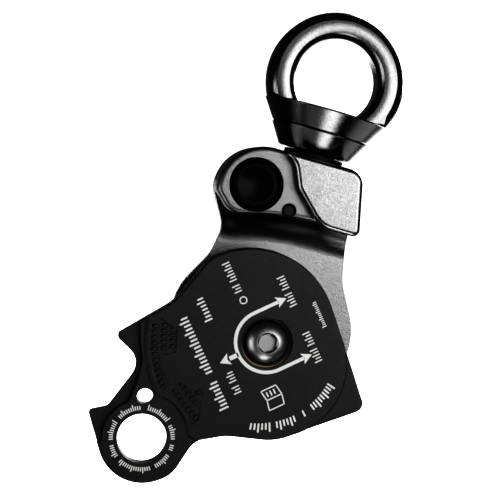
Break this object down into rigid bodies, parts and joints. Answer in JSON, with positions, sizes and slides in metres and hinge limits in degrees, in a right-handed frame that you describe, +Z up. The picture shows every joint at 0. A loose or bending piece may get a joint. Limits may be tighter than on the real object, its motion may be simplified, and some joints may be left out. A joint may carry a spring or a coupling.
{
  "type": "swivel rope pulley block",
  "caption": "Swivel pulley block with a grooved sheave on a ball bearing, a closed eye, and a side plate that swings open past a sprung lock button.",
  "frame": {"origin": "centre of the swivel eye's opening", "axes": "+Z up along the swivel axis, away from the sheave; -Y out of the opening side plate, along the sheave's axle; +X to the right seen from that side"},
  "size_m": [0.0614, 0.03, 0.1198],
  "materials": {
    "body_black": "satin black anodised",
    "eye_black": "polished black anodised",
    "plate_black": "matte black anodised",
    "button_black": "gloss black anodised",
    "sheave_grey": "hard anodised",
    "steel": "bright steel",
    "dark_steel": "black oxide steel",
    "bronze": "sintered bronze",
    "washer_black": "moulded black"
  },
  "bodies": {
    "eye": {"swivel_eye": "eye_black", "swivel_cap": "eye_black", "swivel_lower_race": "steel"},
    "swivel_ball_set": {"swivel_balls": "steel", "swivel_ball_cage": "bronze"},
    "block": {"block_body": "body_black", "swivel_post": "dark_steel", "swivel_lock_pin": "dark_steel", "neck_washer": "washer_black", "axle": "steel", "axle_screw": "steel", "plate_wave_washer": "dark_steel", "bearing_inner_race": "steel", "sheave_spacers": "steel", "button_pin": "dark_steel", "button_spring": "steel", "detent_spring": "steel"},
    "side_plate": {"side_plate": "plate_black", "plate_bush": "bronze"},
    "sheave": {"sheave": "sheave_grey", "bearing_outer_race": "steel", "bearing_shields": "steel", "bearing_retaining_ring": "dark_steel"},
    "sheave_ball_set": {"bearing_balls": "steel", "bearing_cage": "bronze"},
    "lock_button": {"lock_button": "button_black"},
    "detent_pin": {"detent_pin": "dark_steel"}
  },
  "joints": [
    {"name": "swivel", "type": "hinge", "parent": "eye", "child": "block", "pos_m": [0, 0, 0], "axis": [0, 0, 1], "continuous": true},
    {"name": "swivel_ball_orbit", "type": "hinge", "parent": "eye", "child": "swivel_ball_set", "pos_m": [0, 0, 0], "axis": [0, 0, 1], "continuous": true},
    {"name": "plate_swing", "type": "hinge", "parent": "block", "child": "side_plate", "pos_m": [0, 0, -0.0635], "axis": [0, -1, 0], "range_deg": [-124.2, 165]},
    {"name": "sheave_spin", "type": "hinge", "parent": "block", "child": "sheave", "pos_m": [0, 0, -0.0635], "axis": [0, 1, 0], "continuous": true},
    {"name": "sheave_ball_orbit", "type": "hinge", "parent": "block", "child": "sheave_ball_set", "pos_m": [0, 0, -0.0635], "axis": [0, 1, 0], "continuous": true},
    {"name": "button_slide", "type": "slide", "parent": "block", "child": "lock_button", "axis": [0, -1, 0], "range_m": [0, 0.0051], "stiffness_N_per_m": 400, "springref_m": 0.0069},
    {"name": "detent_slide", "type": "slide", "parent": "block", "child": "detent_pin", "axis": [0, -1, 0], "range_m": [0, 0.0018], "stiffness_N_per_m": 200, "springref_m": 0.003}
  ],
  "couplings": [
    {"joint": "swivel_ball_orbit", "follows": "swivel", "ratio": 0.5},
    {"joint": "sheave_ball_orbit", "follows": "sheave_spin", "ratio": 0.5807}
  ]
}
